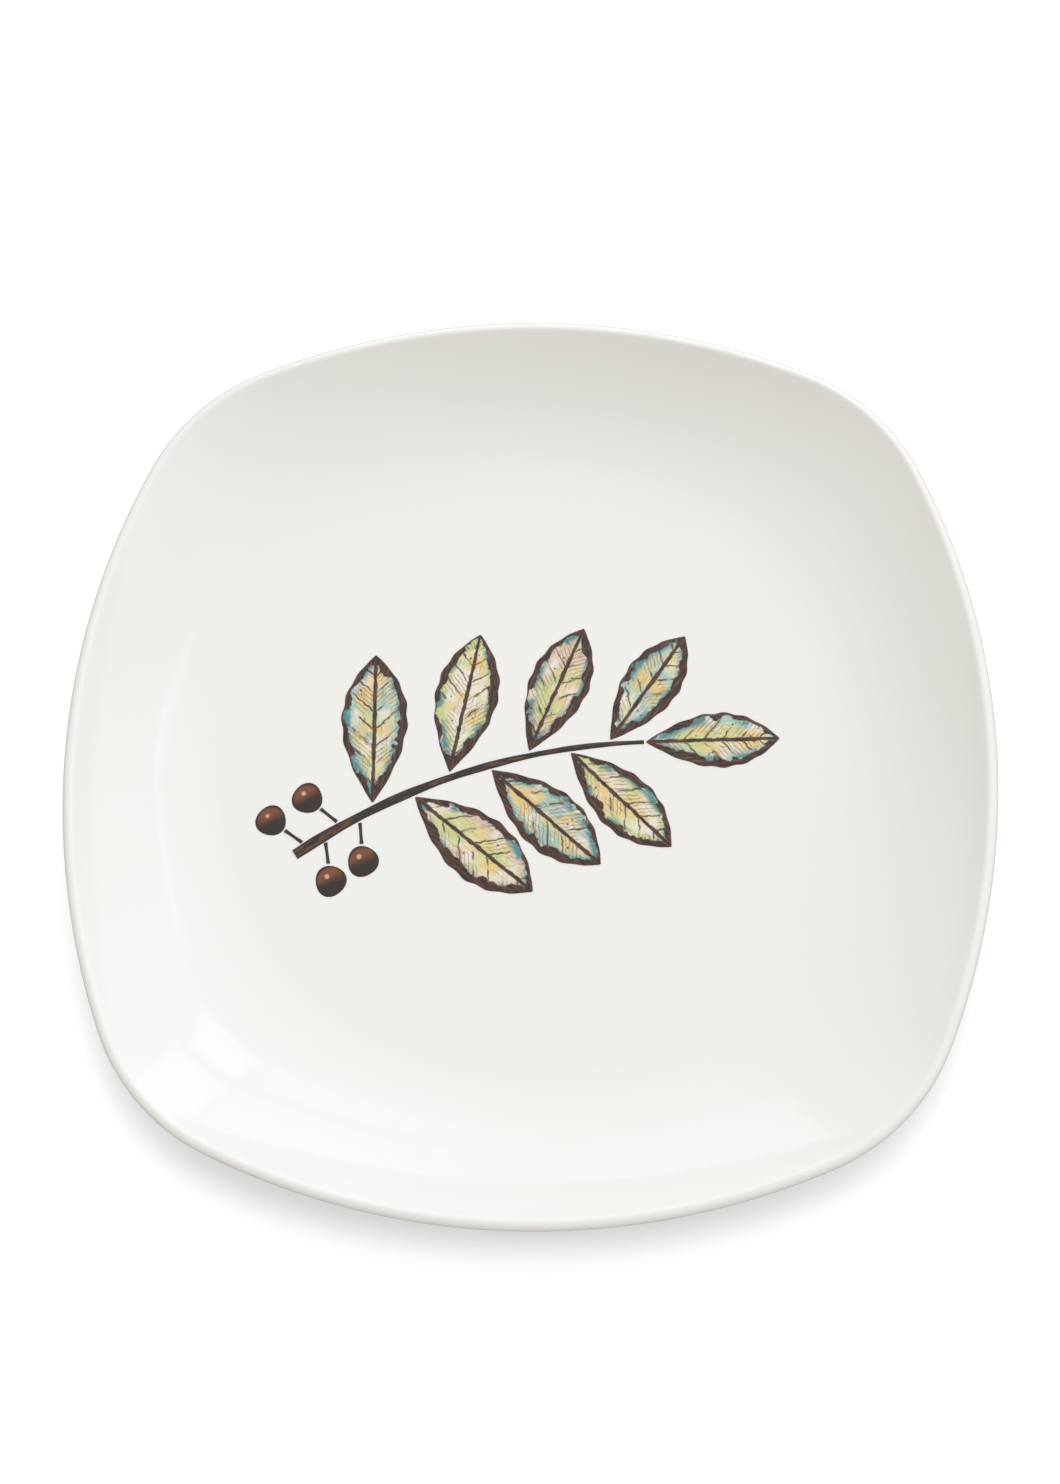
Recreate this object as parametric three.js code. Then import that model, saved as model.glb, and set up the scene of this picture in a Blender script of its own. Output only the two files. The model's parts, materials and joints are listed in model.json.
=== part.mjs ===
// Soft-square serving bowl in glazed porcelain, with a painted leaf sprig on the floor of its round well.
// Millimetres, +Z up. The origin is on the table, under the middle of the foot ring.
import * as THREE from "three";

// Rim in plan, over the glaze
const RIM_WIDTH = 290; // between the middles of two opposite sides
const SIDE_RADIUS = 229; // bow of each side
const CORNER_RADIUS = 66.5;

// Wall and floor in section, over the glaze
const BOWL_DEPTH = 27; // floor to the top of the rim
const WALL_RUN = 45; // edge of the flat floor to the rim, at the middle of a side
const FLOOR_THICKNESS = 6;
const LIP_THICKNESS = 4.2; // full-round lip

// Foot ring
const FOOT_HEIGHT = 4; // table to the glazed underside
const FOOT_INSET = 10; // edge of the flat floor to the middle of the ring
const FOOT_EDGE = 5; // width of the ring at the table, before its edges are rounded
const FOOT_DRAFT = THREE.MathUtils.degToRad(18); // lean of the ring's two sides
const FOOT_FILLET = 2; // where the ring grows out of the underside
const FOOT_ROUND = 0.8; // softened edges at the table

// Glaze
const GLAZE_THICKNESS = 0.35;
const GLAZE_LINE = 1.6; // height on the foot ring below which the glaze is wiped away

// Painted sprig
const ENAMEL_THICKNESS = 0.3;
const ENAMEL_GAP = 0.5; // bare glaze between neighbouring strokes
const SPRIG_MARGIN = 17; // bare floor kept beyond each end of the sprig
const SPRIG_TURN = THREE.MathUtils.degToRad(13); // lift of the sprig towards its tip
const STEM_BEND = 210; // radius of the arched stem
const STEM_WIDTH = 3.4; // at the cut end
const STEM_TIP_WIDTH = 1.4;
const STEM_TAIL = 11; // last leaf to the leaf that ends the stem
const LEAVES = 7; // along the stem, besides the leaf that ends it
const LEAF_LENGTH = 51; // nearest the cut end
const TIP_LEAF_LENGTH = 44; // nearest the tip
const LEAF_SHOULDERS = [0.42, 0.74]; // shares of its length between which a leaf is fullest
const LEAF_GAP = 2; // between neighbours on one side
const LEAF_LEAN = THREE.MathUtils.degToRad(64); // from the stem, nearest the cut end
const TIP_LEAF_LEAN = THREE.MathUtils.degToRad(50);
const BERRIES = 4;
const BERRY_DIAMETER = 10.5;
const BERRY_GAP = 1.5; // between neighbours on one side
const BERRY_START = 4; // cut end to the first berry stalk
const BERRY_LEAN = THREE.MathUtils.degToRad(112);
const STALK_LENGTH = 7;
const STALK_WIDTH = 1.3;

// Facets
const SIDE_STEPS = 10;
const CORNER_STEPS = 6;
const WALL_STEPS = 8;
const LIP_STEPS = 5;
const FOOT_STEPS = 2;
const STEM_STEPS = 14;
const STROKE_STEPS = 9; // along each edge of a leaf and each half of a berry

// Places that follow from the sizes
const FLOOR_TOP = FOOT_HEIGHT + FLOOR_THICKNESS;
const RIM_HEIGHT = FLOOR_TOP + BOWL_DEPTH;
const FLOOR_RADIUS = RIM_WIDTH / 2 - WALL_RUN;
const FOOT_RADIUS = FLOOR_RADIUS - FOOT_INSET;
const BERRY_PITCH = (BERRY_DIAMETER + BERRY_GAP) / Math.sin(BERRY_LEAN) / 2; // berries take alternate sides
const FIRST_LEAF = BERRY_START + BERRIES * BERRY_PITCH; // along the stem from its cut end
const LIP_RADIUS = LIP_THICKNESS / 2;
const DOWN = -Math.PI / 2;
const UP = Math.PI / 2;

const finish = (color, roughness) => new THREE.MeshStandardMaterial({ color, roughness, metalness: 0 });
const BISQUE = finish("#efece4", 0.85);
const GLAZE = finish("#f1f0ec", 0.1);
const UMBER = finish("#3d281c", 0.3);
const BERRY = finish("#5a3320", 0.3);
const LEAF_COLOURS = ["#5c9896", "#dfd3b4", "#a9b673"].map((colour) => finish(colour, 0.3));

const arc = (centre, radius, from, to, steps) =>
  new THREE.ArcCurve(centre.x, centre.y, radius, from, to, from > to).getPoints(steps);

// Rim in plan: four bowed sides joined by tangent corner arcs, as points anticlockwise from above.
function rimOutline() {
  const sideCentre = RIM_WIDTH / 2 - SIDE_RADIUS;
  const betweenCentres = SIDE_RADIUS - CORNER_RADIUS;
  const cornerCentre = (sideCentre + Math.sqrt(2 * betweenCentres ** 2 - sideCentre ** 2)) / 2;
  const joinAngle = Math.atan2(cornerCentre, cornerCentre - sideCentre);
  const side = arc(new THREE.Vector2(sideCentre, 0), SIDE_RADIUS, -joinAngle, joinAngle, SIDE_STEPS);
  const corner = arc(
    new THREE.Vector2(cornerCentre, cornerCentre),
    CORNER_RADIUS,
    joinAngle,
    Math.PI / 2 - joinAngle,
    CORNER_STEPS,
  );
  const quarter = [...side.slice(0, -1), ...corner.slice(0, -1)];
  const middle = new THREE.Vector2();
  const quarterAt = (turn) => quarter.map((p) => p.clone().rotateAround(middle, (turn * Math.PI) / 2));
  return [0, 1, 2, 3].flatMap(quarterAt);
}

// One curve of the wall in section. It leaves a level at the edge of the floor and rises until it is tangent to
// the lip. side is 1 for the curve inside the bowl, which passes above the lip's middle, and -1 for the outside.
function wallCurve(lip, level, side) {
  const run = lip.x - FLOOR_RADIUS;
  const rise = lip.y - level;
  const radius = (run ** 2 + rise ** 2 - LIP_RADIUS ** 2) / (2 * (rise + side * LIP_RADIUS));
  const centre = new THREE.Vector2(FLOOR_RADIUS, level + radius);
  return { centre, radius, slope: Math.atan2(run, radius - rise) };
}

// Half section of the bowl wall in one direction, as (radius, height) points: from the edge of the floor up
// the inside, over the lip and down the outside to the underside. inset is 0 on the glaze and GLAZE_THICKNESS
// on the clay beneath it.
function wallSection(rimRadius, inset) {
  const lip = new THREE.Vector2(rimRadius - LIP_RADIUS, RIM_HEIGHT - LIP_RADIUS);
  const inside = wallCurve(lip, FLOOR_TOP, 1);
  const outside = wallCurve(lip, FOOT_HEIGHT, -1);
  const overLip = arc(lip, LIP_RADIUS - inset, UP + inside.slope, DOWN + outside.slope, LIP_STEPS);
  return [
    ...arc(inside.centre, inside.radius + inset, DOWN, DOWN + inside.slope, WALL_STEPS),
    ...overLip.slice(1, -1),
    ...arc(outside.centre, outside.radius - inset, DOWN + outside.slope, DOWN, WALL_STEPS),
  ];
}

// One side of the foot ring, from the underside down to the glaze line. outward is 1 outside and -1 inside.
function footSide(outward, inset) {
  const lean = new THREE.Vector2(Math.cos(FOOT_DRAFT), Math.sin(FOOT_DRAFT));
  const filletHeight = FOOT_HEIGHT - FOOT_FILLET;
  const fromMiddle = FOOT_EDGE / 2 + (FOOT_FILLET + filletHeight * lean.y) / lean.x;
  const fillet = arc(
    new THREE.Vector2(fromMiddle, filletHeight),
    FOOT_FILLET + inset,
    UP,
    Math.PI - FOOT_DRAFT,
    FOOT_STEPS,
  );
  const atGlazeLine = new THREE.Vector2(FOOT_EDGE / 2 + (GLAZE_LINE * lean.y - inset) / lean.x, GLAZE_LINE);
  return [...fillet, atGlazeLine].map((p) => new THREE.Vector2(FOOT_RADIUS + outward * p.x, p.y));
}

// The bare edge of the foot ring: its softened corner at the table, from the glaze line down.
function footEdge(outward) {
  const lean = new THREE.Vector2(Math.cos(FOOT_DRAFT), Math.sin(FOOT_DRAFT));
  const fromMiddle = FOOT_EDGE / 2 - (GLAZE_THICKNESS + FOOT_ROUND * (1 - lean.y)) / lean.x;
  const centre = new THREE.Vector2(fromMiddle, FOOT_ROUND);
  return arc(centre, FOOT_ROUND, -FOOT_DRAFT, DOWN, FOOT_STEPS).map(
    (p) => new THREE.Vector2(FOOT_RADIUS + outward * p.x, p.y),
  );
}

const RIM = rimOutline();

// Sections in every direction, turned into rings of points round the bowl.
function ringsOf(sectionAt) {
  const sections = RIM.map((p) => sectionAt(p.length()));
  return sections[0].map((_, k) =>
    RIM.map((p, i) => {
      const { x: radius, y: height } = sections[i][k];
      const direction = p.clone().normalize();
      return new THREE.Vector3(direction.x * radius, direction.y * radius, height);
    }),
  );
}

const pole = (height) => [new THREE.Vector3(0, 0, height)];

// A closed surface through strips of rings. A strip with turned set faces the other way.
function loft(strips) {
  const corners = [];
  const face = (turned, a, b, c) => {
    if (a === b || b === c || a === c) return;
    corners.push(...(turned ? [a, c, b] : [a, b, c]));
  };
  for (const { rings, turned } of strips) {
    for (let k = 0; k + 1 < rings.length; k++) {
      RIM.forEach((_, i) => {
        const j = (i + 1) % RIM.length;
        const at = (ring, n) => ring[n % ring.length];
        const [a, b] = [at(rings[k], i), at(rings[k], j)];
        const [c, d] = [at(rings[k + 1], i), at(rings[k + 1], j)];
        face(turned, a, c, d);
        face(turned, a, d, b);
      });
    }
  }
  const geometry = new THREE.BufferGeometry().setFromPoints(corners);
  geometry.computeVertexNormals();
  return geometry;
}

// The skin of the bowl from the middle of its floor over the lip to the glaze line on the foot ring.
function mainSkin(inset) {
  const rings = ringsOf((rimRadius) => [...wallSection(rimRadius, inset), ...footSide(1, inset)]);
  return [pole(FLOOR_TOP - inset), ...rings];
}

// The skin of the recess inside the foot ring, from the middle of the underside to the glaze line.
function recessSkin(inset) {
  return [pole(FOOT_HEIGHT + inset), ...ringsOf(() => footSide(-1, inset))];
}

function porcelainBody() {
  const main = mainSkin(GLAZE_THICKNESS);
  const recess = recessSkin(GLAZE_THICKNESS);
  const edge = ringsOf(() => [...footEdge(1), ...footEdge(-1).reverse()]);
  return loft([
    { rings: main },
    { rings: [main.at(-1), ...edge, recess.at(-1)] },
    { rings: recess, turned: true },
  ]);
}

function glazeCoat() {
  const outside = mainSkin(0);
  const clay = mainSkin(GLAZE_THICKNESS);
  return loft([
    { rings: outside },
    { rings: [outside.at(-1), clay.at(-1)] },
    { rings: clay, turned: true },
  ]);
}

function baseGlaze() {
  const outside = recessSkin(0);
  const clay = recessSkin(GLAZE_THICKNESS);
  return loft([
    { rings: clay },
    { rings: [clay.at(-1), outside.at(-1)] },
    { rings: outside, turned: true },
  ]);
}

function named(name, geometry, material) {
  const mesh = new THREE.Mesh(geometry, material);
  mesh.name = name;
  return mesh;
}

function stroke(outline) {
  const depth = ENAMEL_THICKNESS;
  return new THREE.ExtrudeGeometry(outline, { depth, bevelEnabled: false, curveSegments: STROKE_STEPS });
}

// A leaf along +X from its base at the origin. Each edge is a cubic curve, which reaches 3/4 of its handles.
function leafOutline(length, width) {
  const handle = width / 2 / (3 / 4);
  const [base, tip] = LEAF_SHOULDERS.map((share) => share * length);
  const outline = new THREE.Shape();
  outline.bezierCurveTo(base, -handle, tip, -handle, length, 0);
  outline.bezierCurveTo(tip, handle, base, handle, 0, 0);
  return outline;
}

// Where along the stem each leaf sits, and its lean, length, width and side. Leaves take alternate sides at
// even intervals, and each is as wide as its neighbours on the same side leave room for.
function leafPlan(stemLength) {
  const interval = (stemLength - STEM_TAIL - FIRST_LEAF) / (LEAVES - 1);
  return Array.from({ length: LEAVES }, (_, n) => {
    const share = n / (LEAVES - 1);
    const lean = THREE.MathUtils.lerp(LEAF_LEAN, TIP_LEAF_LEAN, share);
    const length = THREE.MathUtils.lerp(LEAF_LENGTH, TIP_LEAF_LENGTH, share);
    const width = 2 * interval * Math.sin(lean) - LEAF_GAP;
    return { at: FIRST_LEAF + n * interval, lean, length, width, side: n % 2 ? -1 : 1 };
  });
}

// The painted sprig, lying on z = 0 and centred on the origin along its length.
function paintedSprig() {
  const sprig = new THREE.Group();
  const middle = FLOOR_RADIUS - SPRIG_MARGIN;
  const stemLength = 2 * middle - TIP_LEAF_LENGTH - ENAMEL_GAP;
  const leaves = leafPlan(stemLength);
  const headingAt = (s) => (middle - s) / STEM_BEND;
  const pointAt = (s, across) => {
    const radius = STEM_BEND + across;
    const heading = headingAt(s);
    return new THREE.Vector2(-radius * Math.sin(heading), radius * Math.cos(heading) - STEM_BEND);
  };
  const halfWidthAt = (s) => THREE.MathUtils.lerp(STEM_WIDTH, STEM_TIP_WIDTH, s / stemLength) / 2;
  const place = (mesh, at, across, turn) => {
    const p = pointAt(at, across);
    mesh.position.set(p.x, p.y, 0);
    mesh.rotation.z = headingAt(at) + turn;
    sprig.add(mesh);
  };

  const stations = Array.from({ length: STEM_STEPS + 1 }, (_, k) => (stemLength * k) / STEM_STEPS);
  const lowerEdge = stations.map((s) => pointAt(s, -halfWidthAt(s)));
  const upperEdge = stations.map((s) => pointAt(s, halfWidthAt(s))).reverse();
  sprig.add(named("enamel_stem", stroke(new THREE.Shape([...lowerEdge, ...upperEdge])), UMBER));

  leaves.forEach(({ at, lean, length, width, side }, n) => {
    const material = LEAF_COLOURS[n % LEAF_COLOURS.length];
    const leaf = named(`enamel_leaf_${n + 1}`, stroke(leafOutline(length, width)), material);
    place(leaf, at, side * (halfWidthAt(at) + ENAMEL_GAP), side * lean);
  });
  const endLeaf = stroke(leafOutline(TIP_LEAF_LENGTH, leaves.at(-1).width));
  place(named("enamel_end_leaf", endLeaf, LEAF_COLOURS[0]), stemLength + ENAMEL_GAP, 0, 0);

  for (let n = 0; n < BERRIES; n++) {
    const side = n % 2 ? -1 : 1;
    const at = BERRY_START + n * BERRY_PITCH;
    const fromStem = halfWidthAt(at) + ENAMEL_GAP;
    const halfStalk = STALK_WIDTH / 2;
    const stalk = new THREE.Shape([
      new THREE.Vector2(0, -halfStalk),
      new THREE.Vector2(STALK_LENGTH, -halfStalk),
      new THREE.Vector2(STALK_LENGTH, halfStalk),
      new THREE.Vector2(0, halfStalk),
    ]);
    place(named(`enamel_stalk_${n + 1}`, stroke(stalk), UMBER), at, side * fromStem, side * BERRY_LEAN);
    const berry = new THREE.Shape();
    berry.absarc(STALK_LENGTH + ENAMEL_GAP + BERRY_DIAMETER / 2, 0, BERRY_DIAMETER / 2, 0, 2 * Math.PI);
    place(named(`enamel_berry_${n + 1}`, stroke(berry), BERRY), at, side * fromStem, side * BERRY_LEAN);
  }
  sprig.position.z = FLOOR_TOP;
  sprig.rotation.z = SPRIG_TURN;
  return sprig;
}

const bowl = new THREE.Group();
bowl.name = "serving_bowl";
bowl.add(named("porcelain_body", porcelainBody(), BISQUE));
bowl.add(named("glaze_coat", glazeCoat(), GLAZE));
bowl.add(named("base_glaze", baseGlaze(), GLAZE));
bowl.add(paintedSprig());

export default bowl;
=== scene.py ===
# Looks of a soft-square serving bowl: white glaze over porcelain, and a painted leaf sprig in its well.
import json
import math

import bpy
import numpy as np
from mathutils import Matrix, Vector


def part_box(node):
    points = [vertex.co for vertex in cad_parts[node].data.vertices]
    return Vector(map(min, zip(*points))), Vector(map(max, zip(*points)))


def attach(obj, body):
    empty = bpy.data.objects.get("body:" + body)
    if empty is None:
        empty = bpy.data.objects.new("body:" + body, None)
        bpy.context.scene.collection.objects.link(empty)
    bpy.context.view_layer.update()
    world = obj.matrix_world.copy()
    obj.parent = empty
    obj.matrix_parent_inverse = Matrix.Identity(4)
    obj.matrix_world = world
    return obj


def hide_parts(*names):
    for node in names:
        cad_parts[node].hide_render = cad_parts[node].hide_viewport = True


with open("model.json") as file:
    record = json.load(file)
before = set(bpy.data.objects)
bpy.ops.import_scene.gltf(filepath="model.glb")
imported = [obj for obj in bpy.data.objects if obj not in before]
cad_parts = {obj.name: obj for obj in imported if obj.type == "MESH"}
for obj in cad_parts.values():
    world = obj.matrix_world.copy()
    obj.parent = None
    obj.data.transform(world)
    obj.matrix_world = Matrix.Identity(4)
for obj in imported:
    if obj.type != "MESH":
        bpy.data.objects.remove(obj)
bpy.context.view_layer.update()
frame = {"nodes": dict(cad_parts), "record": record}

MM = 0.001
DOWN = -math.pi / 2
UP = math.pi / 2

# Bowl, over the glaze
RIM_WIDTH = 290 * MM
SIDE_RADIUS = 229 * MM
CORNER_RADIUS = 66.5 * MM
BOWL_DEPTH = 27 * MM
WALL_RUN = 45 * MM
FLOOR_THICKNESS = 6 * MM
LIP_RADIUS = 2.1 * MM
LIP_FALL = 0.3  # slope of the lip's top, outward from its inner edge
LIP_EASE = 0.8 * MM  # over which that slope sets in
FOOT_HEIGHT = 4 * MM
FOOT_INSET = 10 * MM
FOOT_EDGE = 5 * MM
FOOT_DRAFT = math.radians(18)
FOOT_FILLET = 2 * MM
FOOT_ROUND = 0.8 * MM
GLAZE_THICKNESS = 0.35 * MM
GLAZE_LINE = 1.6 * MM
FLOOR_TOP = FOOT_HEIGHT + FLOOR_THICKNESS
RIM_HEIGHT = FLOOR_TOP + BOWL_DEPTH
FLOOR_RADIUS = RIM_WIDTH / 2 - WALL_RUN
FOOT_RADIUS = FLOOR_RADIUS - FOOT_INSET

# Mesh fineness
SIDE_STEPS = 40
CORNER_STEPS = 28
FLOOR_RINGS = 16
CURVE_STEPS = 40
LIP_STEPS = 18
FOOT_STEPS = 6
SHARP_EDGE = math.radians(50)

# Glaze and bare clay, with textures in cells for each metre
GLAZE_IOR = 1.52
GLAZE_ROUGHNESS = (0.08, 0.13)
POOL_TOP = FOOT_HEIGHT + 3 * MM  # up to which the glaze is deeper in tone
POOL_TONE = 0.6  # share of that tone at the foot ring
WAVE_SCALE = 32
WAVE_HEIGHT = 0.35 * MM
RING_SCALE = 160  # turning rings in each metre
RING_HEIGHT = 0.07 * MM
DIMPLE_SCALE = 700
DIMPLE_HEIGHT = 0.004 * MM
GRAIN_SCALE = 1800
GRAIN_HEIGHT = 0.03 * MM
CLAY_ROUGHNESS = (0.75, 0.92)
RUBBED_HEIGHT = 0.5 * MM  # up to which the foot ring is greyed

# Painted sprig
ENAMEL_THICKNESS = 0.3 * MM
ENAMEL_EDGE = 0.4  # share of the thickness left at the edge of a stroke
ENAMEL_CROWN = 4  # power by which a stroke thins towards its edge
ENAMEL_ROUGHNESS = (0.1, 0.24)
STROKE_COLUMNS = 11
STROKE_RELIEF = 0.04 * MM

# Leaves
LEAF_SHOULDERS = (0.42, 0.74)  # shares of its length between which a leaf is fullest
LEAF_ROWS = 61
LEAF_COLUMNS = 25
LEAF_END = 0.006  # share of a leaf's curve cut off at each end, so that its ends are blunt
LEAF_RELIEF = 0.05 * MM
WASH_SHIFT = 0.13  # between the textures of one wash and the next
EDGE_WAVES = 6  # ripples of a hand-painted edge along a leaf
EDGE_RIPPLE = 0.03  # share of the half width

# Brush lines on the leaves, in millimetres where no share is named
VEIN_PITCH = 6.2  # between side veins
VEIN_SLANT = 0.9  # share of its reach across that a side vein runs along its leaf
VEIN_LINE = (0.6, 0.15)  # from a line's middle to where it ends and to where it is full
VEIN_TREMBLE = 2.4  # that a hand's line strays
RIB_LINE = (0.85, 0.45)
RIB_TREMBLE = 1.2
HATCH_PITCH = 1.3  # between fine lines, measured aslant
HATCH_ALONG = 0.8  # share of the way along a leaf that counts for this
HATCH_ACROSS = 0.7  # share of the way across
HATCH_LINE = (0.28, 0.08)
HATCH_TREMBLE = 1.6
OUTLINE_LOAD = (0.5, 2.4)  # wide, from a dry brush and from a full one
OUTLINE_LINE = (0.35, -0.15)  # past that width, where the outline ends and where it is full
OUTLINE_TREMBLE = 2.0
SHADED_EDGE = 1.1  # that the outline is wider on a leaf's shaded side

# Stem, stalks and berries
STEM_ROWS = 121
STEM_RIPPLE = 0.1  # share of the half width
STEM_WAVE = 5 * MM
STALK_ROWS = 15
STALK_WAIST = 0.25  # share of its half width that a stalk loses in its middle
BERRY_COLUMNS = 40
BERRY_RINGS = 10
BERRY_WAVES = 3  # ripples round a berry's edge
BERRY_RIPPLE = 0.08  # share of the radius
BERRY_RELIEF = 0.04 * MM
BERRY_ROUGHNESS = (0.1, 0.22)
BERRY_TOUCH = (-1.3, 1.5)  # millimetres from a berry's middle to its pale touch

# Camera, as solved from the rim in the photograph
PHOTO_WIDTH = 1060
PHOTO_HEIGHT = 1484
CAMERA_AZIMUTH = math.radians(9.2)
CAMERA_ELEVATION = math.radians(75.42)
CAMERA_ROLL = math.radians(-8.25)
CAMERA_DISTANCE = 411.8 * MM
FOCAL_PIXELS = 1323.5
AXIS_PIXEL = (525.2, 737.2)
SENSOR = 36.0
NEAREST_SEEN = 10 * MM

# Room and lamps
ROOM = 0.84  # mean brightness of the white room
ROOM_TILT = (0.19, 0.235, 0.085)  # how much brighter the room is towards +X, +Y and +Z
ROOM_SPREAD = 0.3  # brightness added or taken by that tilt at which the two colours are full
DIM_COLOUR = (1.05, 0.99, 0.915, 1)  # of the room where it is dimmest
BRIGHT_COLOUR = (1.0, 1.0, 1.0, 1)
WINDOW_COLOUR = (0.9, 1.0, 1.14)
LAMP_DISTANCE = 0.8
LAMPS = {  # degrees from +X towards +Y, degrees above the table, metres wide and high, watts
    "upper_left_pane": (47, 46, 0.16, 0.23, 0.03),
    "upper_middle_pane": (66, 46, 0.17, 0.23, 0.165),
    "upper_right_pane": (86, 46, 0.18, 0.23, 0.085),
    "lower_middle_pane": (63, 17, 0.24, 0.42, 0.28),
    "lower_right_pane": (83, 17, 0.22, 0.42, 0.1),
    "side_window": (101, 20, 0.2, 0.55, 0.22),
    "high_strip": (35, 56, 0.18, 0.055, 0.029),
    "upright_strip": (25, 61, 0.06, 0.17, 0.024),
}

# Floor under the bowl, and its shadow: a real one from the lamps and room, and a painted shadow in its glow
# beside the rim
FLOOR_COLOUR = (0.845, 0.85, 0.865, 1)  # in the picture
FLOOR_BOUNCE = (0.35, 0.35, 0.35, 1)  # for the light that it throws back on the bowl
FLOOR_ROUGHNESS = 0.9
PAINTED_SHADOW_GLOW = (0.16, 0.4)  # beside the bowl, weaker as a painted shadow, and away from it, where the floor is white
PAINTED_SHADOW_REACH = (4, 18)  # millimetres from the rim between which the glow grows, so that the painted shadow fades out
SHADOW_SIDE = np.exp(1j * math.radians(-112))  # where the painted shadow is widest
SHADOW_LEAN = 4  # millimetres that the painted shadow is narrower a quarter turn from there
SHADOW_CORNERS = 2.2  # millimetres that the painted shadow is wider at the corners and narrower between them
GLOW_MIRRORED = 0.1  # share of the glow that shows in the glaze
FLOOR_OFFSETS = np.array([-90, -30, 0, 4, 8, 12, 16, 20, 24, 40, 100, 400, 4000]) * MM  # rings round the rim


def colour(code):
    """A web colour as linear red, green, blue and alpha."""
    parts = [int(code[i : i + 2], 16) / 255 for i in (1, 3, 5)]
    return (*[c / 12.92 if c <= 0.04045 else ((c + 0.055) / 1.055) ** 2.4 for c in parts], 1)


# Node materials


class Nodes:
    """The nodes of a material or a world, with short calls for the kinds that this scene uses."""

    def __init__(self, owner):
        owner.use_nodes = True
        self.owner = owner
        self.tree = owner.node_tree

    def set(self, socket, value):
        if isinstance(value, bpy.types.NodeSocket):
            self.tree.links.new(value, socket)
        else:
            socket.default_value = value

    def node(self, kind, inputs=(), **settings):
        made = self.tree.nodes.new(kind)
        for name, value in settings.items():
            setattr(made, name, value)
        for key, value in dict(inputs).items():
            self.set(made.inputs[key], value)
        return made

    def math(self, operation, first, second=0.0):
        return self.node("ShaderNodeMath", {0: first, 1: second}, operation=operation).outputs[0]

    def vector(self, operation, first, second=(0.0, 0.0, 0.0), output="Vector"):
        made = self.node("ShaderNodeVectorMath", {0: first, 1: second}, operation=operation)
        return made.outputs[output]

    def height(self, place):
        return self.node("ShaderNodeSeparateXYZ", {0: place}).outputs["Z"]

    def place(self):
        return self.node("ShaderNodeTexCoord").outputs["Object"]

    def attribute(self, name):
        vector = self.node("ShaderNodeAttribute", attribute_name=name).outputs["Vector"]
        return self.node("ShaderNodeSeparateXYZ", {0: vector}).outputs

    def noise(self, where, scale, detail=2.0, roughness=0.5):
        inputs = {"Vector": where, "Scale": scale, "Detail": detail, "Roughness": roughness}
        return self.node("ShaderNodeTexNoise", inputs).outputs["Fac"]

    def ramp(self, value, low, high, bottom=0.0, top=1.0):
        """Smoothly from bottom to top while value goes from low to high."""
        inputs = {"Value": value, "From Min": low, "From Max": high, "To Min": bottom, "To Max": top}
        return self.node("ShaderNodeMapRange", inputs, interpolation_type="SMOOTHSTEP").outputs["Result"]

    def shift(self, where, distance):
        """The same place moved, so that a second texture differs from the first."""
        return self.vector("ADD", where, (distance, distance, distance))

    def stretch(self, along, share, across, third):
        """A place for textures that are drawn out along a stroke."""
        inputs = {0: self.math("MULTIPLY", along, share), 1: across, 2: third}
        return self.node("ShaderNodeCombineXYZ", inputs).outputs[0]

    def mix(self, share, first, second):
        mixed = self.node("ShaderNodeMix", {0: share, 6: first, 7: second}, data_type="RGBA")
        return mixed.outputs[2]

    def bump(self, height, distance, below=None):
        """The surface raised by a height, over one that is uneven already if this is given."""
        inputs = {"Height": height, "Distance": distance, "Strength": 1.0}
        if below is not None:
            inputs["Normal"] = below
        return self.node("ShaderNodeBump", inputs).outputs["Normal"]

    def surface(self, **values):
        shader = self.tree.nodes["Principled BSDF"]
        for name, value in values.items():
            self.set(shader.inputs[name.replace("_", " ")], value)
        return self.owner


def new_material(name):
    return Nodes(bpy.data.materials.new(name))


def glaze_material():
    """Clear glaze over white clay: glossy, faintly uneven, a little deeper in tone where it pools."""
    nodes = new_material("white_glaze")
    place = nodes.place()
    cloud = nodes.noise(place, scale=14, detail=3)
    white = nodes.mix(nodes.ramp(cloud, 0.35, 0.7), colour("#f3f3f1"), colour("#f2f2ef"))
    pooled = nodes.ramp(nodes.height(place), POOL_TOP, FOOT_HEIGHT - FOOT_FILLET, top=POOL_TONE)
    tinted = nodes.mix(pooled, white, colour("#e7e9e4"))
    wavy = nodes.bump(nodes.noise(place, WAVE_SCALE, detail=1), WAVE_HEIGHT)
    level = nodes.vector("MULTIPLY", place, (1, 1, 0))
    around = nodes.vector("NORMALIZE", level)
    radius = nodes.vector("LENGTH", level, output="Value")
    outward = nodes.node("ShaderNodeCombineXYZ", {2: nodes.math("MULTIPLY", radius, RING_SCALE)}).outputs[0]
    rings = nodes.noise(nodes.vector("ADD", around, outward), scale=1)
    ringed = nodes.bump(rings, RING_HEIGHT, below=wavy)
    normal = nodes.bump(nodes.noise(place, DIMPLE_SCALE, detail=1), DIMPLE_HEIGHT, below=ringed)
    roughness = nodes.ramp(nodes.noise(place, scale=90, detail=4), 0.3, 0.8, *GLAZE_ROUGHNESS)
    return nodes.surface(Base_Color=tinted, Roughness=roughness, IOR=GLAZE_IOR, Normal=normal)


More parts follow.
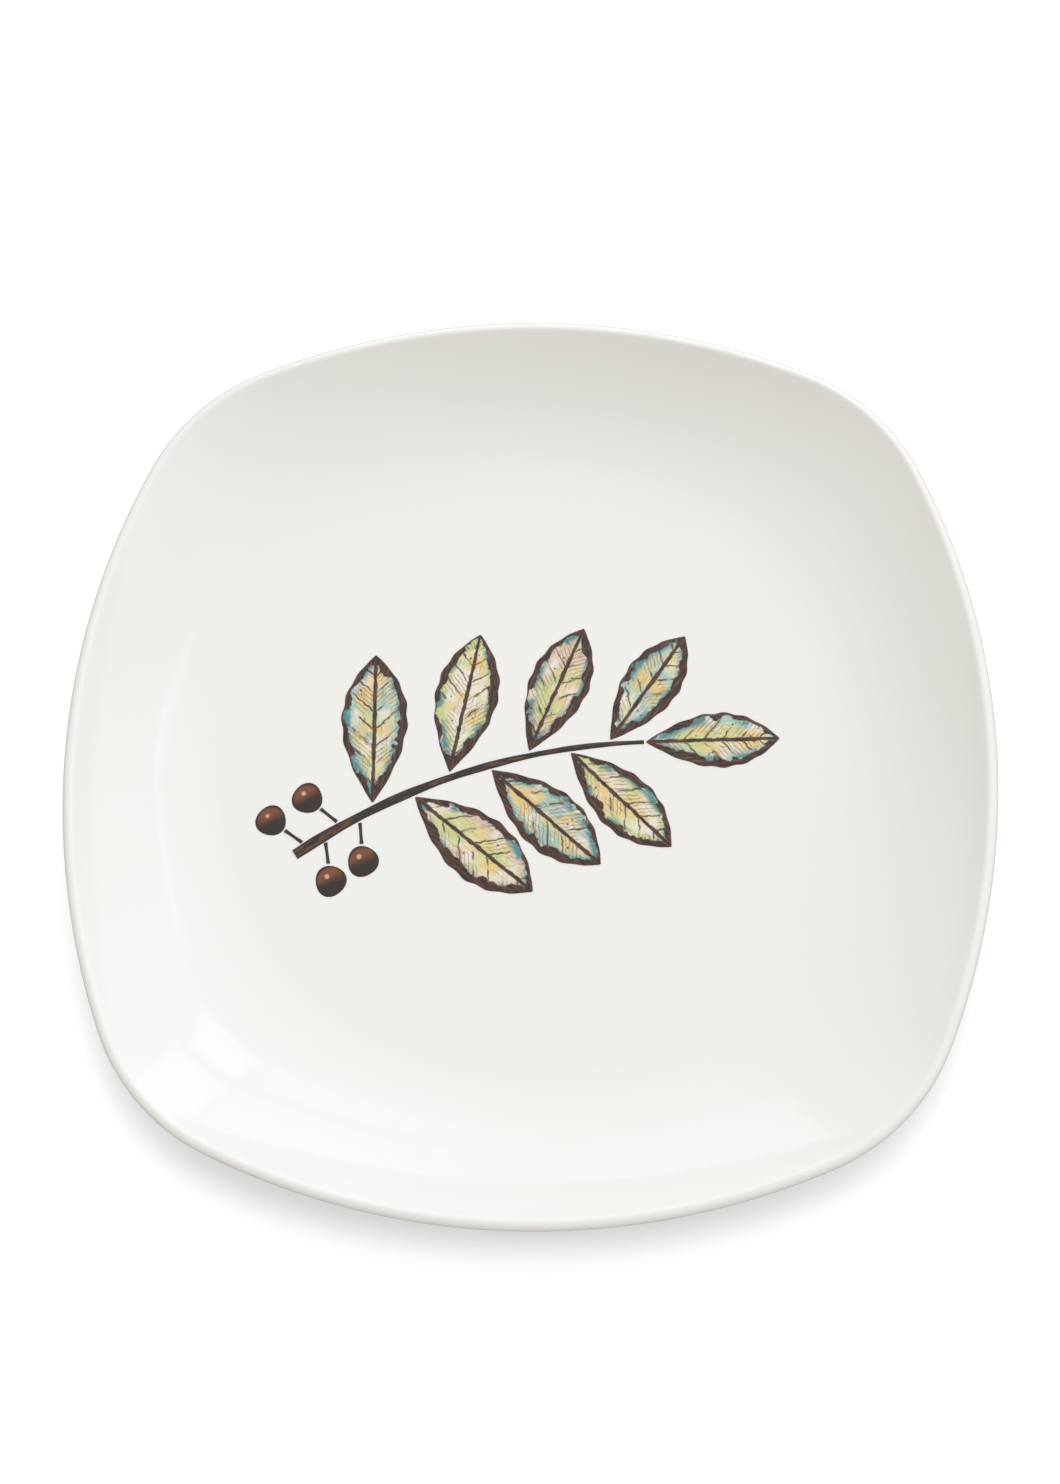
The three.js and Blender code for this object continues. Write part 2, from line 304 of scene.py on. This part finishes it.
def bisque_material():
    """Bare fired clay: matt, fine grained, a little greyed where it rubs on the table."""
    nodes = new_material("bisque")
    place = nodes.place()
    grain = nodes.noise(place, GRAIN_SCALE, detail=3)
    cloud = nodes.noise(place, scale=60, detail=3)
    clay = nodes.mix(nodes.ramp(cloud, 0.3, 0.7), colour("#efebe1"), colour("#e8e2d5"))
    near_table = nodes.ramp(nodes.height(place), RUBBED_HEIGHT, 0.0)
    rubbed = nodes.math("MULTIPLY", near_table, nodes.ramp(grain, 0.45, 0.6, 0.2, 0.7))
    return nodes.surface(
        Base_Color=nodes.mix(rubbed, clay, colour("#cfc8bb")),
        Roughness=nodes.ramp(grain, 0.3, 0.7, *CLAY_ROUGHNESS),
        Normal=nodes.bump(grain, GRAIN_HEIGHT),
    )


def leaf_material(name, ground, heart, rim):
    """Washes on a pale ground: a warm heart, a cool rim, hatching, specks and a loaded dark outline."""
    nodes = new_material(name)
    place = nodes.place()
    along, from_rib, edge = nodes.attribute("stroke")
    side = nodes.math("ABSOLUTE", from_rib)
    tremble = nodes.math("SUBTRACT", nodes.noise(place, scale=420, detail=3), 0.5)
    drag = nodes.noise(nodes.shift(place, 0.7), scale=170)
    streak = nodes.noise(nodes.stretch(along, 0.1, from_rib, tremble), scale=1.5, detail=4, roughness=0.65)

    def by_hand(distance, stray):
        """A distance from a line that trembles."""
        return nodes.math("ADD", distance, nodes.math("MULTIPLY", tremble, stray))

    cloud = nodes.noise(place, scale=90, detail=3, roughness=0.6)
    paint = nodes.mix(nodes.ramp(cloud, 0.4, 0.6), *ground)
    for number, wash in enumerate(heart):
        cloud = nodes.noise(nodes.shift(place, WASH_SHIFT * (number + 1)), scale=100)
        patch = nodes.ramp(cloud, 0.44, 0.62, top=0.95)
        paint = nodes.mix(nodes.math("MULTIPLY", patch, nodes.ramp(edge, 1.5, 4.5)), paint, wash)
    for number, wash in enumerate(rim):
        moved = nodes.shift(place, 0.4 + WASH_SHIFT * number)
        cloud = nodes.noise(moved, scale=130, detail=3, roughness=0.6)
        patch = nodes.ramp(cloud, 0.43, 0.53, top=0.95)
        paint = nodes.mix(nodes.math("MULTIPLY", patch, nodes.ramp(edge, 5.5 - number, 2.0)), paint, wash)
    pale_streak = nodes.ramp(streak, 0.42, 0.32, top=0.7)
    paint = nodes.mix(pale_streak, paint, colour("#f6f1e6"))
    brown_streak = nodes.ramp(streak, 0.56, 0.7, top=0.75)
    paint = nodes.mix(brown_streak, paint, colour("#8a6a54"))

    cloud = nodes.noise(nodes.shift(place, 0.9), scale=120)
    hatched = nodes.ramp(cloud, 0.47, 0.58, top=0.6)
    slant = nodes.math("MULTIPLY", along, HATCH_ALONG)
    slant = nodes.math("SUBTRACT", slant, nodes.math("MULTIPLY", side, HATCH_ACROSS))
    from_hatch = nodes.math("PINGPONG", by_hand(slant, HATCH_TREMBLE), HATCH_PITCH / 2)
    hatch = nodes.math("MULTIPLY", nodes.ramp(from_hatch, *HATCH_LINE), hatched)
    paint = nodes.mix(hatch, paint, colour("#7d5b47"))
    cells = nodes.node("ShaderNodeTexVoronoi", {"Vector": place, "Scale": 330}).outputs["Distance"]
    speck = nodes.ramp(cells, 0.16, 0.09, top=0.85)
    paint = nodes.mix(speck, paint, colour("#3a2418"))

    slant = nodes.math("SUBTRACT", along, nodes.math("MULTIPLY", side, VEIN_SLANT))
    from_vein = nodes.math("PINGPONG", by_hand(slant, VEIN_TREMBLE), VEIN_PITCH / 2)
    vein = nodes.math("MULTIPLY", nodes.ramp(from_vein, *VEIN_LINE), nodes.ramp(drag, 0.4, 0.55, 0.1, 0.9))
    rib = nodes.ramp(by_hand(side, RIB_TREMBLE), *RIB_LINE)
    shaded = nodes.ramp(from_rib, 2.0, -2.0, top=SHADED_EDGE)
    load = nodes.math("ADD", nodes.ramp(drag, 0.34, 0.62, *OUTLINE_LOAD), shaded)
    from_line = nodes.math("SUBTRACT", by_hand(edge, OUTLINE_TREMBLE), load)
    dry = nodes.ramp(streak, 0.74, 0.6, 0.35, 1.0)
    outline = nodes.math("MULTIPLY", nodes.ramp(from_line, *OUTLINE_LINE), dry)
    line = nodes.math("MAXIMUM", nodes.math("MAXIMUM", vein, rib), outline)
    umber = nodes.mix(nodes.ramp(streak, 0.42, 0.6), colour("#1e1713"), colour("#5f3a24"))
    return nodes.surface(
        Base_Color=nodes.mix(line, paint, umber),
        Roughness=nodes.ramp(drag, 0.3, 0.7, *ENAMEL_ROUGHNESS),
        Normal=nodes.bump(nodes.math("ADD", line, streak), LEAF_RELIEF),
    )


def berry_material(name):
    """A round dab: dark at its edge and below, browner above, with a pale touch of the brush."""
    nodes = new_material(name)
    place = nodes.place()
    right, up, edge = nodes.attribute("stroke")
    cloud = nodes.noise(place, scale=330, detail=3, roughness=0.6)
    stirred = nodes.math("MULTIPLY", nodes.math("SUBTRACT", cloud, 0.5), 2.5)
    upper_left = nodes.math("SUBTRACT", up, nodes.math("MULTIPLY", right, 0.5))
    lit = nodes.ramp(nodes.math("ADD", upper_left, stirred), -1.5, 2.5)
    browner = nodes.math("MULTIPLY", lit, nodes.ramp(edge, 0.4, 1.4))
    brown = nodes.mix(browner, colour("#26160e"), colour("#7a4527"))
    touch_right, touch_up = BERRY_TOUCH
    aside = nodes.math("POWER", nodes.math("ADD", right, -touch_right), 2.0)
    above = nodes.math("POWER", nodes.math("ADD", up, -touch_up), 2.0)
    apart = nodes.math("SQRT", nodes.math("ADD", aside, above))
    from_touch = nodes.math("ADD", apart, nodes.math("MULTIPLY", stirred, 0.4))
    return nodes.surface(
        Base_Color=nodes.mix(nodes.ramp(from_touch, 1.0, 0.5, top=0.8), brown, colour("#d8b596")),
        Roughness=nodes.ramp(cloud, 0.3, 0.7, *BERRY_ROUGHNESS),
        Normal=nodes.bump(cloud, BERRY_RELIEF),
    )


def stroke_material(name, dark, light):
    """One loaded brush stroke: streaked along its length, and thinner in its middle than at its edges."""
    nodes = new_material(name)
    place = nodes.place()
    along, from_rib, edge = nodes.attribute("stroke")
    cloud = nodes.noise(place, scale=260, detail=3)
    streak = nodes.noise(nodes.stretch(along, 0.15, from_rib, cloud), scale=1.1, detail=3, roughness=0.6)
    thin = nodes.math("MULTIPLY", nodes.ramp(streak, 0.45, 0.68), nodes.ramp(edge, 0.1, 0.8))
    return nodes.surface(
        Base_Color=nodes.mix(thin, dark, light),
        Roughness=nodes.ramp(cloud, 0.3, 0.7, *ENAMEL_ROUGHNESS),
        Normal=nodes.bump(streak, STROKE_RELIEF),
    )


# Meshes


def add_piece(name, points, faces, material, node, slot):
    """A smooth closed mesh that stands for one node of the frame."""
    mesh = bpy.data.meshes.new(name)
    mesh.from_pydata([tuple(p) for p in points], [], [tuple(f) for f in faces])
    mesh.shade_smooth()
    mesh.set_sharp_from_angle(angle=SHARP_EDGE)
    mesh.materials.append(material)
    piece = bpy.data.objects.new(name, mesh)
    bpy.context.scene.collection.objects.link(piece)
    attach(piece, "root")
    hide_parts(node)
    return piece


def set_stroke(piece, along, from_rib, edge):
    """Each point's place along a stroke and across it, and its distance from the edge, in millimetres."""
    values = np.stack([along, from_rib, edge], axis=-1).astype(np.float32) / MM
    data = piece.data.attributes.new("stroke", "FLOAT_VECTOR", "POINT").data
    data.foreach_set("vector", values.ravel())


def rim_outline():
    """The rim in plan as complex points, anticlockwise: four bowed sides joined by tangent corner arcs."""
    side_centre = RIM_WIDTH / 2 - SIDE_RADIUS
    between = SIDE_RADIUS - CORNER_RADIUS
    corner_centre = (side_centre + math.sqrt(2 * between**2 - side_centre**2)) / 2
    join = math.atan2(corner_centre, corner_centre - side_centre)
    side = np.linspace(-join, join, SIDE_STEPS, endpoint=False)
    corner = np.linspace(join, math.pi / 2 - join, CORNER_STEPS, endpoint=False)
    side_points = side_centre + SIDE_RADIUS * np.exp(1j * side)
    corner_points = corner_centre * (1 + 1j) + CORNER_RADIUS * np.exp(1j * corner)
    quarter = np.concatenate([side_points, corner_points])
    return np.concatenate([quarter * 1j**turn for turn in range(4)])


RIM = rim_outline()
RIM_REACH = abs(RIM)
DIRECTIONS = RIM / RIM_REACH


# Sections are rows of rings, one column for each direction. A point is its radius plus its height times 1j.


def arc(centre, radius, start, end, steps):
    turn = np.linspace(0, 1, steps + 1)[:, None]
    angle = start + (end - start) * turn
    return centre + radius * np.exp(1j * angle) * np.ones(len(RIM))


def straight(start, end, steps):
    """Rings between two rings, without these two."""
    share = np.linspace(0, 1, steps + 1)[1:-1, None]
    return start + (end - start) * share


def wall_curve(lip, level, side):
    """Centre, radius and end slope of a wall curve, level at the floor's edge and tangent to the lip."""
    run = lip.real - FLOOR_RADIUS
    rise = lip.imag - level
    radius = (run**2 + rise**2 - LIP_RADIUS**2) / (2 * (rise + side * LIP_RADIUS))
    return FLOOR_RADIUS + 1j * (level + radius), radius, np.arctan2(run, radius - rise)


def main_skin(inset):
    """From the floor up the inside, over the lip and down the outside to the glaze line on the foot ring."""
    lip = RIM_REACH - LIP_RADIUS + 1j * (RIM_HEIGHT - LIP_RADIUS)
    inner, inner_radius, inner_slope = wall_curve(lip, FLOOR_TOP, 1)
    outer, outer_radius, outer_slope = wall_curve(lip, FOOT_HEIGHT, -1)
    inside = arc(inner, inner_radius + inset, DOWN, DOWN + inner_slope, CURVE_STEPS)
    over = arc(lip, LIP_RADIUS - inset, UP + inner_slope, DOWN + outer_slope, LIP_STEPS)
    outside = arc(outer, outer_radius - inset, DOWN + outer_slope, DOWN, CURVE_STEPS)
    foot = foot_side(1, inset)
    floor = straight(1j * inside[0].imag, inside[0], FLOOR_RINGS)
    underside = straight(outside[-1], foot[0], FOOT_STEPS)
    rings = np.concatenate([floor, inside, over[1:-1], outside, underside, foot])
    past_edge = np.clip(rings.real - (lip.real - LIP_RADIUS * np.sin(inner_slope)), 0, None)
    eased = np.where(past_edge < LIP_EASE, past_edge**2 / (2 * LIP_EASE), past_edge - LIP_EASE / 2)
    return rings - 1j * LIP_FALL * eased


def foot_side(outward, inset):
    """One side of the foot ring, from its fillet under the bowl down to the glaze line."""
    fillet_height = FOOT_HEIGHT - FOOT_FILLET
    from_middle = FOOT_EDGE / 2 + (FOOT_FILLET + fillet_height * math.sin(FOOT_DRAFT)) / math.cos(FOOT_DRAFT)
    fillet = arc(from_middle + 1j * fillet_height, FOOT_FILLET + inset, UP, math.pi - FOOT_DRAFT, FOOT_STEPS)
    at_line = FOOT_EDGE / 2 + (GLAZE_LINE * math.sin(FOOT_DRAFT) - inset) / math.cos(FOOT_DRAFT)
    line = np.full((1, len(RIM)), at_line + 1j * GLAZE_LINE)
    side = np.concatenate([fillet, line])
    return FOOT_RADIUS + outward * side.real + 1j * side.imag


def foot_edge(outward):
    """The bare softened corner of the foot ring, from its side to its flat underside."""
    slack = GLAZE_THICKNESS + FOOT_ROUND * (1 - math.sin(FOOT_DRAFT))
    from_middle = FOOT_EDGE / 2 - slack / math.cos(FOOT_DRAFT)
    corner = arc(from_middle + 1j * FOOT_ROUND, FOOT_ROUND, -FOOT_DRAFT, DOWN, FOOT_STEPS)
    return FOOT_RADIUS + outward * corner.real + 1j * corner.imag


def recess_skin(inset):
    """From the underside of the floor to the glaze line on the inside of the foot ring."""
    side = foot_side(-1, inset)
    return np.concatenate([straight(1j * side[0].imag, side[0], FLOOR_RINGS), side])


def loft(rings, first_height, last_height, directions):
    """Points and faces of a closed surface through rings, from one pole on the axis to the other."""
    count, columns = rings.shape
    plan = rings.real * directions
    around = np.stack([plan.real, plan.imag, rings.imag], axis=-1).reshape(-1, 3)
    points = np.concatenate([[[0, 0, first_height]], around, [[0, 0, last_height]]])
    index = 1 + np.arange(count * columns).reshape(count, columns)
    after = np.roll(index, -1, axis=1)
    sides = np.stack([index[:-1], index[1:], after[1:], after[:-1]], axis=-1).reshape(-1, 4)
    first = [(0, a, b) for a, b in zip(index[0], after[0])]
    last = [(len(points) - 1, b, a) for a, b in zip(index[-1], after[-1])]
    return points, [*first, *sides.tolist(), *last]


def slab(plan, heights):
    """Points and faces of a thin solid on the floor of the well, with heights over a grid in plan."""
    rows, columns = plan.shape
    floor = np.full_like(heights, FLOOR_TOP)
    levels = [np.stack([plan.real, plan.imag, z], axis=-1).reshape(-1, 3) for z in (heights, floor)]
    index = np.arange(rows * columns).reshape(rows, columns)
    corners = [index[:-1, :-1], index[1:, :-1], index[1:, 1:], index[:-1, 1:]]
    top = np.stack(corners, axis=-1).reshape(-1, 4)
    under = top[:, ::-1] + rows * columns
    border = np.concatenate([index[:-1, 0], index[-1, :-1], index[:0:-1, -1], index[0, :0:-1]])
    ahead = np.roll(border, -1)
    walls = np.stack([border, border + rows * columns, ahead + rows * columns, ahead], axis=-1)
    return np.concatenate(levels), np.concatenate([top, under, walls]).tolist()


def enamel_height(across):
    """Top of a painted stroke, which is full in its middle and thin at its edges (across is -1 and 1)."""
    return FLOOR_TOP + ENAMEL_THICKNESS * (1 - (1 - ENAMEL_EDGE) * across**ENAMEL_CROWN)


# Bowl


def build_bowl():
    """The coat of glaze, its pool under the floor, and the clay between them."""
    glaze = glaze_material()
    fired = main_skin(0)
    clay = main_skin(GLAZE_THICKNESS)
    below = recess_skin(0)
    clay_below = recess_skin(GLAZE_THICKNESS)
    inner_floor = FLOOR_TOP - GLAZE_THICKNESS
    inner_base = FOOT_HEIGHT + GLAZE_THICKNESS

    coat = loft(np.concatenate([fired, clay[::-1]]), FLOOR_TOP, inner_floor, DIRECTIONS)
    add_piece("bowl_glaze", *coat, glaze, "glaze_coat", "white_glaze")
    pool = loft(np.concatenate([clay_below, below[::-1]]), inner_base, FOOT_HEIGHT, DIRECTIONS)
    add_piece("bowl_base_glaze", *pool, glaze, "base_glaze", "white_glaze")
    edge = np.concatenate([foot_edge(1), foot_edge(-1)[::-1]])
    body = loft(np.concatenate([clay, edge, clay_below[::-1]]), inner_floor, inner_base, DIRECTIONS)
    add_piece("bowl_porcelain", *body, bisque_material(), "porcelain_body", "bisque")


# Painted sprig, laid over the frame's strokes


def node_plan(node):
    """The corners of a node of the frame from above, as complex numbers."""
    corners = [complex(v.co.x, v.co.y) for v in frame["nodes"][node].data.vertices]
    return np.unique(np.round(corners, 7))


STEM_PLAN = node_plan("enamel_stem")


def main_direction(plan):
    """The direction in which the corners of a stroke are spread most."""
    return np.exp(0.5j * np.angle(((plan - plan.mean()) ** 2).sum()))


def stroke_frame(node):
    """Where a straight stroke leaves the stem, its heading, its length and its half width."""
    plan = node_plan(node)
    direction = main_direction(plan)
    local = (plan - plan.mean()) / direction
    ends = plan.mean() + direction * np.array([local.real.min(), local.real.max()])
    base, tip = sorted(ends, key=lambda end: abs(STEM_PLAN - end).min())
    return base, (tip - base) / abs(tip - base), abs(tip - base), abs(local.imag).max()


def add_stroke(node, line, heading, reach, along, across, material, slot):
    """A painted stroke: reach to each side of a line, in rows along it and columns across it."""
    from_rib = across * reach
    points, faces = slab(line + 1j * heading * from_rib, enamel_height(across) + 0 * reach)
    stroke = add_piece(node.replace("enamel", "painted"), points, faces, material, node, slot)
    values = [v + 0 * from_rib for v in (along, from_rib, (1 - abs(across)) * reach)]
    set_stroke(stroke, *[np.tile(v.ravel(), 2) for v in values])


def columns_across(count):
    """Shares of the half width from one edge to the other, closer together at the edges."""
    return np.sin(np.linspace(DOWN, UP, count))[None, :]


def add_leaf(node, number, material, slot):
    """A pointed stroke whose two edges ripple apart from each other, in another way on each leaf."""
    base, heading, length, half_width = stroke_frame(node)
    share = np.linspace(LEAF_END, 1 - LEAF_END, LEAF_ROWS)[:, None]
    rest = 1 - share
    across = columns_across(LEAF_COLUMNS)
    near, far = LEAF_SHOULDERS
    along = length * (3 * rest**2 * share * near + 3 * rest * share**2 * far + share**3)
    phase = np.where(across > 0, number, 2.5 * number + 1)
    ripple = EDGE_RIPPLE * abs(across) * np.sin(2 * math.pi * EDGE_WAVES * share + phase)
    reach = 4 * share * rest * half_width * (1 + ripple)
    add_stroke(node, base + heading * along, heading, reach, along, across, material, slot)


def add_stalk(node, material, slot):
    """A straight stroke with a waist."""
    base, heading, length, half_width = stroke_frame(node)
    along = length * np.linspace(0, 1, STALK_ROWS)[:, None]
    reach = half_width * (1 - STALK_WAIST * np.sin(math.pi * along / length))
    across = columns_across(STROKE_COLUMNS)
    add_stroke(node, base + heading * along, heading, reach, along, across, material, slot)


def add_stem(node, material, slot):
    """A bowed stroke along the frame's stem, whose corners lie in pairs across it."""
    order = np.argsort((STEM_PLAN / main_direction(STEM_PLAN)).real)
    pairs = STEM_PLAN[order].reshape(-1, 2)
    middle = pairs.mean(axis=1)
    half = abs(pairs[:, 0] - pairs[:, 1]) / 2
    travelled = np.concatenate([[0], np.cumsum(abs(np.diff(middle)))])
    along = np.linspace(0, travelled[-1], STEM_ROWS)[:, None]
    line = np.interp(along, travelled, middle)
    heading = np.gradient(line, axis=0)
    reach = np.interp(along, travelled, half) * (1 + STEM_RIPPLE * np.sin(along / STEM_WAVE))
    across = columns_across(STROKE_COLUMNS)
    add_stroke(node, line, heading / abs(heading), reach, along, across, material, slot)


def add_berry(node, material, slot):
    """A round dab with a domed top."""
    low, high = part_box(node)
    centre = complex(low.x + high.x, low.y + high.y) / 2
    radius = (high.x - low.x) / 2
    turn = np.linspace(0, 2 * math.pi, BERRY_COLUMNS, endpoint=False)
    share = np.linspace(0, 1, BERRY_RINGS + 1)[1:, None]
    uneven = 1 - BERRY_RIPPLE * (1 + np.sin(BERRY_WAVES * turn + node_plan(node).real.sum() / MM)) / 2
    top = share * radius * uneven + 1j * enamel_height(share)
    rings = np.concatenate([top, top[-1:].real + 1j * FLOOR_TOP])
    points, faces = loft(rings, enamel_height(0), FLOOR_TOP, np.exp(1j * turn))
    edge = radius - np.hypot(points[:, 0], points[:, 1])
    placed = points + [centre.real, centre.imag, 0]
    berry = add_piece(node.replace("enamel", "painted"), placed, faces, material, node, slot)
    set_stroke(berry, points[:, 0], points[:, 1], edge)


def build_sprig():
    """One painted stroke for each enamel node, in the material of its slot."""
    teal = colour("#43888c")
    pale_teal = colour("#a3c4be")
    green = colour("#ccd592")
    ochre = colour("#e9cd88")
    beige = colour("#d8c2ae")
    cream = colour("#f0e9da")
    slot_of = {row["node"]: row["material_slot"] for row in frame["record"]["subparts"]}
    materials = {
        "teal_enamel": leaf_material("teal_enamel", (cream, pale_teal), (green, ochre), (pale_teal, teal)),
        "cream_enamel": leaf_material("cream_enamel", (cream, beige), (ochre, green), (beige, teal)),
        "green_enamel": leaf_material("green_enamel", (cream, green), (ochre, cream), (green, teal)),
        "umber_enamel": stroke_material("umber_enamel", colour("#221813"), colour("#66402a")),
        "berry_enamel": berry_material("berry_enamel"),
    }

    def paint_of(node):
        """The material of a node and its slot."""
        slot = slot_of[node]
        return materials[slot], slot

    for number, node in enumerate(sorted(n for n in frame["nodes"] if "leaf" in n)):
        add_leaf(node, number, *paint_of(node))
    for node in (n for n in frame["nodes"] if "stalk" in n):
        add_stalk(node, *paint_of(node))
    for node in (n for n in frame["nodes"] if "berry" in n):
        add_berry(node, *paint_of(node))
    add_stem("enamel_stem", *paint_of("enamel_stem"))


# Stage, light and camera


def build_floor():
    """A pale floor in rings round the rim, with a glow that makes it white to the eye and lights nothing.
    The glow is weaker beside the rim, which paints a shadow there over the real one.
    """
    rings = (RIM_REACH + FLOOR_OFFSETS[:, None]) * DIRECTIONS
    points = [(p.real, p.imag, 0) for p in rings.ravel()]
    index = np.arange(rings.size).reshape(rings.shape)
    after = np.roll(index, -1, axis=1)
    faces = np.stack([index[:-1], index[1:], after[1:], after[:-1]], axis=-1).reshape(-1, 4)
    mesh = bpy.data.meshes.new("floor")
    mesh.from_pydata(points, [], [*faces.tolist(), index[0].tolist()])
    # Width of the painted shadow round the rim, as a shift of each ring's distance from it
    narrower = SHADOW_LEAN * (1 - (DIRECTIONS / SHADOW_SIDE).real)
    narrower += SHADOW_CORNERS * (DIRECTIONS**4).real
    from_rim = (FLOOR_OFFSETS[:, None] / MM + narrower).ravel()
    mesh.attributes.new("from_rim", "FLOAT", "POINT").data.foreach_set("value", from_rim)

    nodes = new_material("pale_floor")
    path = nodes.node("ShaderNodeLightPath").outputs
    pale = nodes.mix(path["Is Camera Ray"], FLOOR_BOUNCE, FLOOR_COLOUR)
    nodes.surface(Base_Color=pale, Roughness=FLOOR_ROUGHNESS, Specular_IOR_Level=0.0)
    mirrored = nodes.math("MAXIMUM", path["Is Glossy Ray"], path["Is Transmission Ray"])
    shown = nodes.math("ADD", path["Is Camera Ray"], nodes.math("MULTIPLY", mirrored, GLOW_MIRRORED))
    away = nodes.node("ShaderNodeAttribute", attribute_name="from_rim").outputs["Fac"]
    # Weaker glow beside the rim: a painted shadow
    strength = nodes.math("MULTIPLY", shown, nodes.ramp(away, *PAINTED_SHADOW_REACH, *PAINTED_SHADOW_GLOW))
    glow = nodes.node("ShaderNodeEmission", {"Strength": strength})
    lit = nodes.tree.nodes["Principled BSDF"]
    both = nodes.node("ShaderNodeAddShader", {0: lit.outputs[0], 1: glow.outputs[0]})
    nodes.set(nodes.tree.nodes["Material Output"].inputs["Surface"], both.outputs[0])
    mesh.materials.append(nodes.owner)
    floor = bpy.data.objects.new("floor", mesh)
    bpy.context.scene.collection.objects.link(floor)


def build_world():
    """A room that is brighter on one side. The glaze mirrors it paler, and the picture shows it white."""
    nodes = Nodes(bpy.data.worlds.new("white_room"))
    path = nodes.node("ShaderNodeLightPath").outputs
    seen = path["Is Camera Ray"]
    mirrored = nodes.math("MAXIMUM", path["Is Glossy Ray"], path["Is Transmission Ray"])
    direction = nodes.node("ShaderNodeTexCoord").outputs["Generated"]
    added = nodes.vector("DOT_PRODUCT", direction, ROOM_TILT, "Value")
    level = nodes.math("ADD", nodes.ramp(mirrored, 0, 1, ROOM, 1.0), added)
    bright_side = nodes.ramp(added, -ROOM_SPREAD, ROOM_SPREAD)
    tint = nodes.mix(bright_side, DIM_COLOUR, BRIGHT_COLOUR)
    background = nodes.tree.nodes["Background"]
    nodes.set(background.inputs["Color"], nodes.mix(seen, tint, BRIGHT_COLOUR))
    nodes.set(background.inputs["Strength"], nodes.ramp(seen, 0, 1, level, 1.0))
    bpy.context.scene.world = nodes.owner


def add_lamp(name, azimuth, elevation, width, height, power):
    """A window pane or strip light that faces the bowl."""
    lamp = bpy.data.lights.new(name, "AREA")
    lamp.shape = "RECTANGLE"
    lamp.size = width
    lamp.size_y = height
    lamp.energy = power
    lamp.color = WINDOW_COLOUR
    light = bpy.data.objects.new(name, lamp)
    bpy.context.scene.collection.objects.link(light)
    turn = math.radians(azimuth)
    rise = math.radians(elevation)
    towards = Vector((math.cos(turn) * math.cos(rise), math.sin(turn) * math.cos(rise), math.sin(rise)))
    light.location = Vector((0, 0, RIM_HEIGHT)) + LAMP_DISTANCE * towards
    light.rotation_euler = towards.to_track_quat("Z", "Y").to_euler()


def build_camera():
    """The photograph's view of the rim's middle, with a lens axis beside the middle of the picture."""
    lens = bpy.data.cameras.new("camera")
    lens.sensor_width = SENSOR
    lens.lens = SENSOR * FOCAL_PIXELS / PHOTO_HEIGHT
    lens.shift_x = (PHOTO_WIDTH / 2 - AXIS_PIXEL[0]) / PHOTO_HEIGHT
    lens.shift_y = (AXIS_PIXEL[1] - PHOTO_HEIGHT / 2) / PHOTO_HEIGHT
    lens.clip_start = NEAREST_SEEN
    camera = bpy.data.objects.new("camera", lens)
    bpy.context.scene.collection.objects.link(camera)
    level = math.cos(CAMERA_ELEVATION)
    height = math.sin(CAMERA_ELEVATION)
    back = Vector((math.sin(CAMERA_AZIMUTH) * level, -math.cos(CAMERA_AZIMUTH) * level, height))
    right = Vector((math.cos(CAMERA_AZIMUTH), math.sin(CAMERA_AZIMUTH), 0))
    turn = Matrix((right, back.cross(right), back)).transposed().to_4x4()
    aim = Vector((0, 0, RIM_HEIGHT - LIP_RADIUS))
    place = Matrix.Translation(aim + CAMERA_DISTANCE * back)
    camera.matrix_world = place @ turn @ Matrix.Rotation(CAMERA_ROLL, 4, "Z")
    bpy.context.scene.camera = camera


build_bowl()
build_sprig()
build_floor()
build_world()
for lamp_name, settings in LAMPS.items():
    add_lamp(lamp_name, *settings)
build_camera()
bpy.context.scene.view_settings.view_transform = "Standard"
